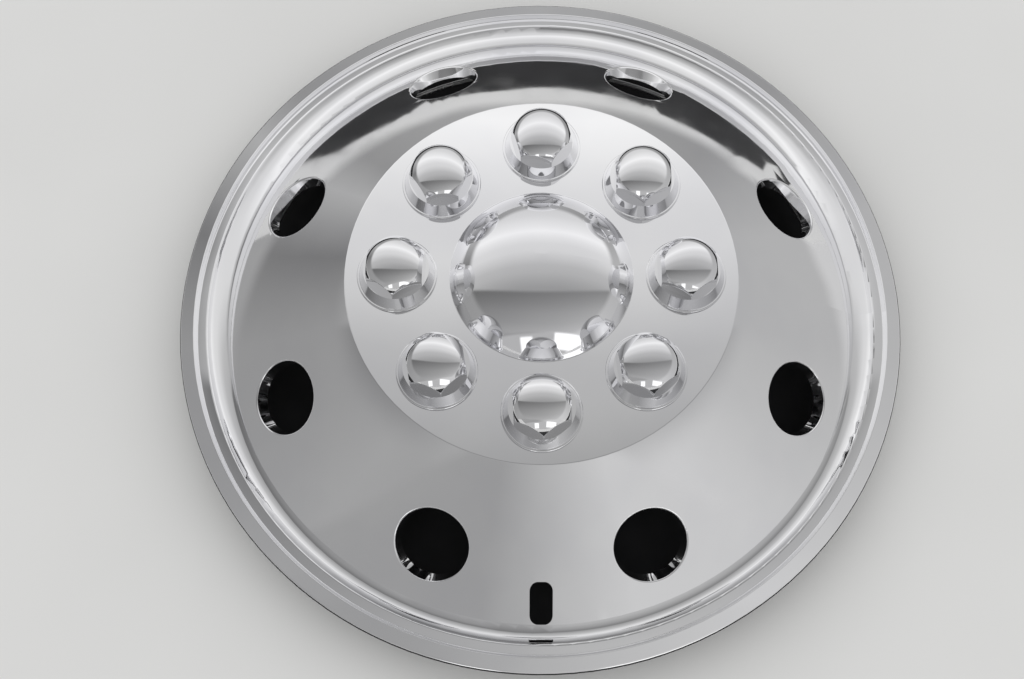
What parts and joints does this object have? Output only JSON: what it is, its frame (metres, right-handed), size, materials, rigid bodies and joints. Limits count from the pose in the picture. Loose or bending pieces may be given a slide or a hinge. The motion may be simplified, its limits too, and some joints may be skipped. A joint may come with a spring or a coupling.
{
  "type": "hubcap",
  "caption": "Deep chrome-plated push-on hubcap: stepped rim, cone with round hand holes and a valve slot, raised centre with a dome and hexagon nut covers, and a wire ring behind.",
  "frame": {"origin": "on the wheel axis, in the plane of the leg tips that the cover rests on", "axes": "+Z along the wheel axis out of the cover's face, -Y towards the valve slot"},
  "size_m": [0.4341, 0.4342, 0.1153],
  "materials": {
    "cover_chrome": "bright chrome plating on moulded plastic",
    "nut_chrome": "bright chrome plating on moulded plastic",
    "ring_steel": "drawn spring-steel wire, zinc plated"
  },
  "bodies": {
    "root": {"wheel_cover": "cover_chrome", "nut_cover_1": "nut_chrome", "nut_cover_2": "nut_chrome", "nut_cover_3": "nut_chrome", "nut_cover_4": "nut_chrome", "nut_cover_5": "nut_chrome", "nut_cover_6": "nut_chrome", "nut_cover_7": "nut_chrome", "nut_cover_8": "nut_chrome", "retention_ring": "ring_steel"}
  },
  "joints": []
}
